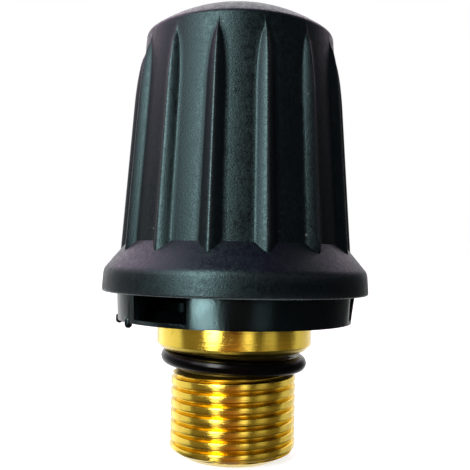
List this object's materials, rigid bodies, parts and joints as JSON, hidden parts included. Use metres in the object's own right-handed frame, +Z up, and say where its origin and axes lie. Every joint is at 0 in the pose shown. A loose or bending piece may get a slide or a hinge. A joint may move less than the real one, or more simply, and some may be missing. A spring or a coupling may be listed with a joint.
{
  "type": "safety valve cap",
  "caption": "Boiler safety valve cap: ribbed black domed knob with a flange over a notched skirt, on a brass pipe-thread plug with an O-ring, and a relief valve inside.",
  "frame": {"origin": "on the thread's axis, at the underside of the brass collar, where it meets the boiler neck", "axes": "+Z up along the axis, from the threaded end to the dome; -Y is the side that faces the camera in the picture"},
  "size_m": [0.0446, 0.0446, 0.0756],
  "materials": {
    "knob_plastic": "satin black moulded plastic with a fine spark-eroded grain",
    "skirt_plastic": "smooth satin black moulded plastic",
    "yellow_brass": "bright turned yellow brass",
    "black_rubber": "glossy black rubber",
    "spring_steel": "drawn stainless spring wire",
    "zinc_steel": "bright zinc-plated steel",
    "pale_bearing_plastic": "ivory bearing plastic"
  },
  "bodies": {
    "plug": {"plug_body": "yellow_brass", "main_o_ring": "black_rubber", "stop_washer": "pale_bearing_plastic", "guide_ring": "yellow_brass", "skirt_cup": "skirt_plastic", "crown_ring": "skirt_plastic", "drive_pins": "spring_steel", "lift_spring": "spring_steel"},
    "cartridge": {"cartridge_body": "yellow_brass", "piston_o_ring": "black_rubber", "valve_seat": "yellow_brass", "adjusting_screw": "yellow_brass", "lock_nut": "yellow_brass", "thrust_washer": "pale_bearing_plastic", "spring_seat": "yellow_brass", "relief_spring": "spring_steel"},
    "poppet": {"relief_poppet": "yellow_brass", "relief_seal": "black_rubber"},
    "knob": {"knob_shell": "knob_plastic", "knob_bush": "pale_bearing_plastic", "drive_crown": "skirt_plastic", "crown_screws": "zinc_steel"}
  },
  "joints": [
    {"name": "knob_press", "type": "slide", "parent": "plug", "child": "cartridge", "axis": [0, 0, -1], "range_m": [0, 0.0025], "stiffness_N_per_m": 1200, "springref_m": -0.0025, "deforming": ["lift_spring"]},
    {"name": "knob_spin", "type": "hinge", "parent": "cartridge", "child": "knob", "pos_m": [0, 0, 0.03], "axis": [0, 0, 1], "continuous": true},
    {"name": "relief_lift", "type": "slide", "parent": "cartridge", "child": "poppet", "axis": [0, 0, 1], "range_m": [0, 0.0015], "stiffness_N_per_m": 1500, "springref_m": -0.0019, "deforming": ["relief_spring"]}
  ]
}
